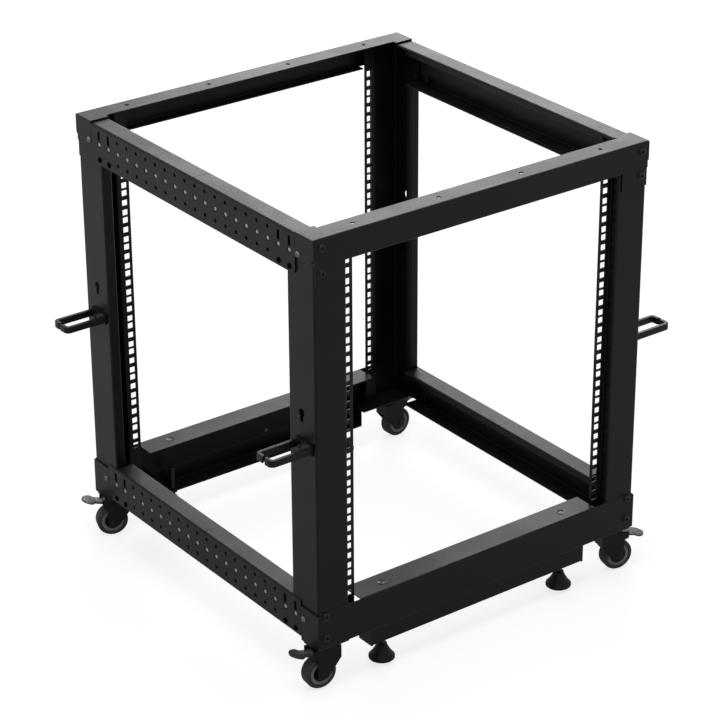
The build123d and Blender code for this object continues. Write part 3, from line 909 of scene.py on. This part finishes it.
def collarNut(s, centre):
    # a six sided nut with both edges cut back to a circle and a round bore
    six = hexRadius(s["flat"], s["steps"])
    cut = np.minimum(six, s["flat"] * s["cutBack"])
    rings = [
        (s["bore"], 0),
        (cut, 0),
        (six, s["chamfer"]),
        (six, s["height"] - s["chamfer"]),
        (cut, s["height"]),
        (s["bore"], s["height"]),
    ]
    return stackRings(rings, s["steps"], centre, (0, 0, 1))


plugSettings = {
    "radius": 7.0 * mm,
    "edge": 0.2 * mm,
    "inner": 5.2 * mm,
    "rimStep": 0.6 * mm,
    "middle": 1 * mm,
    "height": 0.5 * mm,
    "low": 0.15 * mm,
    "z": 133.5 * mm,
    "steps": 48,
}


def plugGrid(s, centre):
    # a flat disc with a fine raised rim
    rings = [
        (s["radius"], 0),
        (s["radius"] - s["edge"], s["height"]),
        (s["inner"] + s["rimStep"], s["height"]),
        (s["inner"], s["low"]),
        (s["middle"], s["low"]),
    ]
    return stackRings(rings, s["steps"], centre, (0, 0, 1))


def fitFeet(s):
    # pad, stud, nut under the beam and the plug in its top flange, at each corner
    for corner, (sx, sy) in cornerSigns.items():
        x, y = sx * s["x"], sy * s["y"]
        leveller = corner + "_leveller"
        pad = footGrid(s, (x, y, 0))
        piece = addPiece(corner + "_pad", [pad], "foot_plastic", leveller)
        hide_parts(corner + "_foot")
        stud = studGrid(studSettings, (x, y, 0))
        addPiece(corner + "_stud", [stud], "bolt_black", leveller)
        nut = collarNut(footNut, (x, y, s["flangeBottom"] - footNut["height"]))
        addPiece(corner + "_stud_nut", [nut], "bolt_black", "frame", True)
        plug = plugGrid(plugSettings, (x, y, plugSettings["z"]))
        addPiece(corner + "_plug", [plug], "bolt_black", "frame")


fitFeet(footSettings)
print("feet dressed")

stageSettings = {
    "half": 9.0,
    "seen": (0.35, 0.35, 0.35, 1),
    "unseen": (0.2, 0.2, 0.2, 1),
    "glow": 0.78,
    "nearDim": 0.95,
    "dimFall": 0.2,
}


def makeFloor(s):
    # a flat square, seen white with its shadow left on and darker by bounced light;
    # in gloss its glow falls to 1 - nearDim * dimFall ^ distance near the rack, a painted shade under the
    # rack that the metal reflects
    corner = np.array(((-1, -1, 0), (1, -1, 0), (1, 1, 0), (-1, 1, 0))) * s["half"]
    mesh = bpy.data.meshes.new("floor")
    mesh.from_pydata(corner.tolist(), [], [(0, 1, 2, 3)])
    floor = bpy.data.objects.new("floor", mesh)
    bpy.context.scene.collection.objects.link(floor)
    material = bpy.data.materials.new("floor")
    material.use_nodes = True
    tree = material.node_tree
    tree.nodes.clear()
    out = tree.nodes.new("ShaderNodeOutputMaterial")
    path = tree.nodes.new("ShaderNodeLightPath")
    seen = mathNode(tree, "MAXIMUM", path.outputs["Is Camera Ray"], path.outputs["Is Glossy Ray"])
    seen = mathNode(tree, "MAXIMUM", seen, path.outputs["Is Transmission Ray"])
    white = tree.nodes.new("ShaderNodeBsdfDiffuse")
    white.inputs[0].default_value = s["seen"]
    glow = tree.nodes.new("ShaderNodeEmission")
    place = tree.nodes.new("ShaderNodeTexCoord")
    reach = tree.nodes.new("ShaderNodeVectorMath")
    reach.operation = "LENGTH"
    tree.links.new(place.outputs["Object"], reach.inputs[0])
    # painted shade: the glow seen in gloss dims close to the rack
    near = mathNode(tree, "POWER", s["dimFall"], reach.outputs["Value"])
    fall = mathNode(tree, "MULTIPLY", near, s["nearDim"])
    dimming = mathNode(tree, "MULTIPLY", fall, path.outputs["Is Glossy Ray"])
    level = mathNode(tree, "MULTIPLY", mathNode(tree, "SUBTRACT", 1.0, dimming), s["glow"])
    tree.links.new(level, glow.inputs["Strength"])
    both = tree.nodes.new("ShaderNodeAddShader")
    dim = tree.nodes.new("ShaderNodeBsdfDiffuse")
    dim.inputs[0].default_value = s["unseen"]
    mix = tree.nodes.new("ShaderNodeMixShader")
    tree.links.new(white.outputs[0], both.inputs[0])
    tree.links.new(glow.outputs[0], both.inputs[1])
    tree.links.new(seen, mix.inputs[0])
    tree.links.new(dim.outputs[0], mix.inputs[1])
    tree.links.new(both.outputs[0], mix.inputs[2])
    tree.links.new(mix.outputs[0], out.inputs[0])
    mesh.materials.append(material)


worldSettings = {"colour": (1, 1, 1, 1), "light": 0.25}


def makeWorld(s):
    # white to the camera, in gloss and through glass, dim as light
    world = bpy.data.worlds.new("studio")
    bpy.context.scene.world = world
    world.use_nodes = True
    tree = world.node_tree
    path = tree.nodes.new("ShaderNodeLightPath")
    seen = mathNode(tree, "MAXIMUM", path.outputs["Is Camera Ray"], path.outputs["Is Glossy Ray"])
    seen = mathNode(tree, "MAXIMUM", seen, path.outputs["Is Transmission Ray"])
    level = mathNode(tree, "MAXIMUM", seen, s["light"])
    tree.nodes["Background"].inputs["Color"].default_value = s["colour"]
    tree.links.new(level, tree.nodes["Background"].inputs["Strength"])


lampSettings = {
    "overhead": {"place": (-0.5, -0.4, 3.0), "aim": (0, 0, 0.4), "size": (2.0, 2.0), "power": 45},
    "back": {"place": (1.95, 2.2, 1.85), "aim": (0, 0, 0.6), "size": (1.7, 1.4), "power": 38},
}


def makeLamps(s):
    # soft boxes, each turned to its aim
    for name, lamp in s.items():
        data = bpy.data.lights.new(name, "AREA")
        data.shape = "RECTANGLE"
        data.size, data.size_y = lamp["size"]
        data.energy = lamp["power"]
        obj = bpy.data.objects.new(name, data)
        obj.location = lamp["place"]
        obj.rotation_euler = (Vector(lamp["aim"]) - Vector(lamp["place"])).to_track_quat("-Z", "Y").to_euler()
        bpy.context.scene.collection.objects.link(obj)


makeFloor(stageSettings)
makeWorld(worldSettings)
makeLamps(lampSettings)
bpy.context.scene.view_settings.view_transform = "Standard"
print("floor, world and lamps set")
